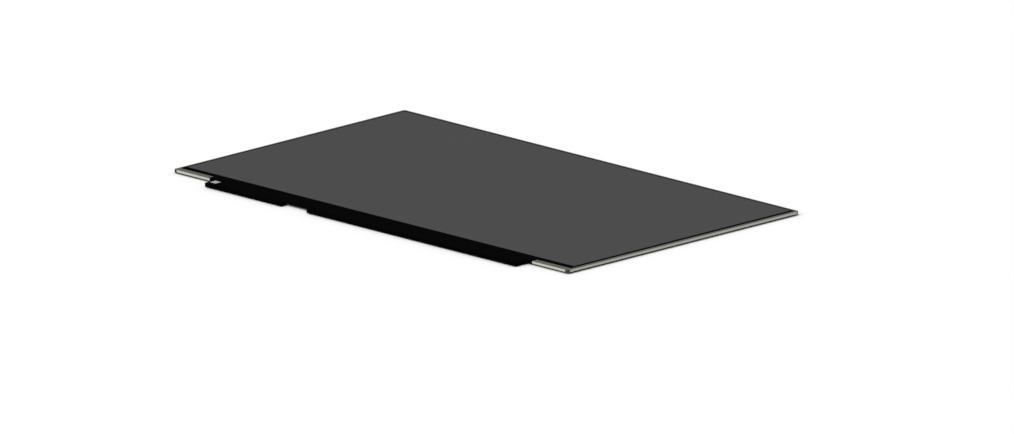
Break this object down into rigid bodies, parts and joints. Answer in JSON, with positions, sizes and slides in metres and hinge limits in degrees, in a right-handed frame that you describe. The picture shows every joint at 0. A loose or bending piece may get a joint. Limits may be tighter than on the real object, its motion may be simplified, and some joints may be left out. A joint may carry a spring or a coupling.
{
  "type": "laptop screen panel",
  "caption": "Slim flat liquid-crystal display module with a metal tray, moulded frame, dark screen and a covered driver board along its foot.",
  "frame": {"origin": "middle of the panel outline, without the board flap, on the rear face of the metal tray", "axes": "+X along the long side to the right as the screen is read, +Y from the board side to the head, +Z out of the screen"},
  "size_m": [0.3506, 0.2162, 0.0026],
  "materials": {
    "tray_metal": "satin, warm light coating",
    "frame_resin": "fine moulded texture",
    "optical_film": "milky, matte",
    "prism_film": "fine ridges, satin",
    "guide_acrylic": "clear, polished",
    "lamp_flex_film": "white printed film",
    "lamp_case": "white case, yellow filling",
    "tape": "matte black",
    "cell_glass": "polished, black printed margin",
    "polariser": "anti-glare, dark grey",
    "driver_film": "amber polyimide",
    "silicon": "ground die",
    "board_laminate": "green solder mask",
    "cover_film": "matte black film",
    "gasket_cloth": "metallised cloth",
    "socket_resin": "dark grey moulding",
    "shell_steel": "tinned",
    "contact_plating": "gold flash",
    "tinned_leads": "tinned, a little grainy",
    "package_epoxy": "moulded epoxy",
    "coil_ferrite": "pressed ferrite",
    "chip_ceramic": "tan ceramic, tinned ends",
    "resistor_ceramic": "dark glaze, tinned ends"
  },
  "bodies": {
    "root": {"array_glass": "cell_glass", "board_cover": "cover_film", "cell_tape": "tape", "ceramic_capacitors": "chip_ceramic", "coil_clips": "tinned_leads", "diode_tabs": "tinned_leads", "driver_board": "board_laminate", "driver_chip_1": "silicon", "driver_chip_2": "silicon", "driver_chip_3": "silicon", "driver_chip_4": "silicon", "driver_film_1": "driver_film", "driver_film_2": "driver_film", "driver_film_3": "driver_film", "driver_film_4": "driver_film", "film_resistors": "resistor_ceramic", "filter_glass": "cell_glass", "front_polariser": "polariser", "ground_gasket": "gasket_cloth", "lamp_coil": "coil_ferrite", "lamp_diode": "package_epoxy", "lamp_driver_chip": "package_epoxy", "lamp_flex": "lamp_flex_film", "lamps": "lamp_case", "light_guide": "guide_acrylic", "lower_diffuser_film": "optical_film", "lower_prism_film": "prism_film", "memory_chip": "package_epoxy", "memory_leads": "tinned_leads", "mould_frame": "frame_resin", "power_chip": "package_epoxy", "rear_polariser": "polariser", "rear_tray": "tray_metal", "reflector_film": "optical_film", "socket_contacts": "contact_plating", "socket_housing": "socket_resin", "socket_shell": "shell_steel", "supply_coil": "coil_ferrite", "timing_chip": "package_epoxy", "upper_diffuser_film": "optical_film", "upper_prism_film": "prism_film"}
  },
  "joints": []
}
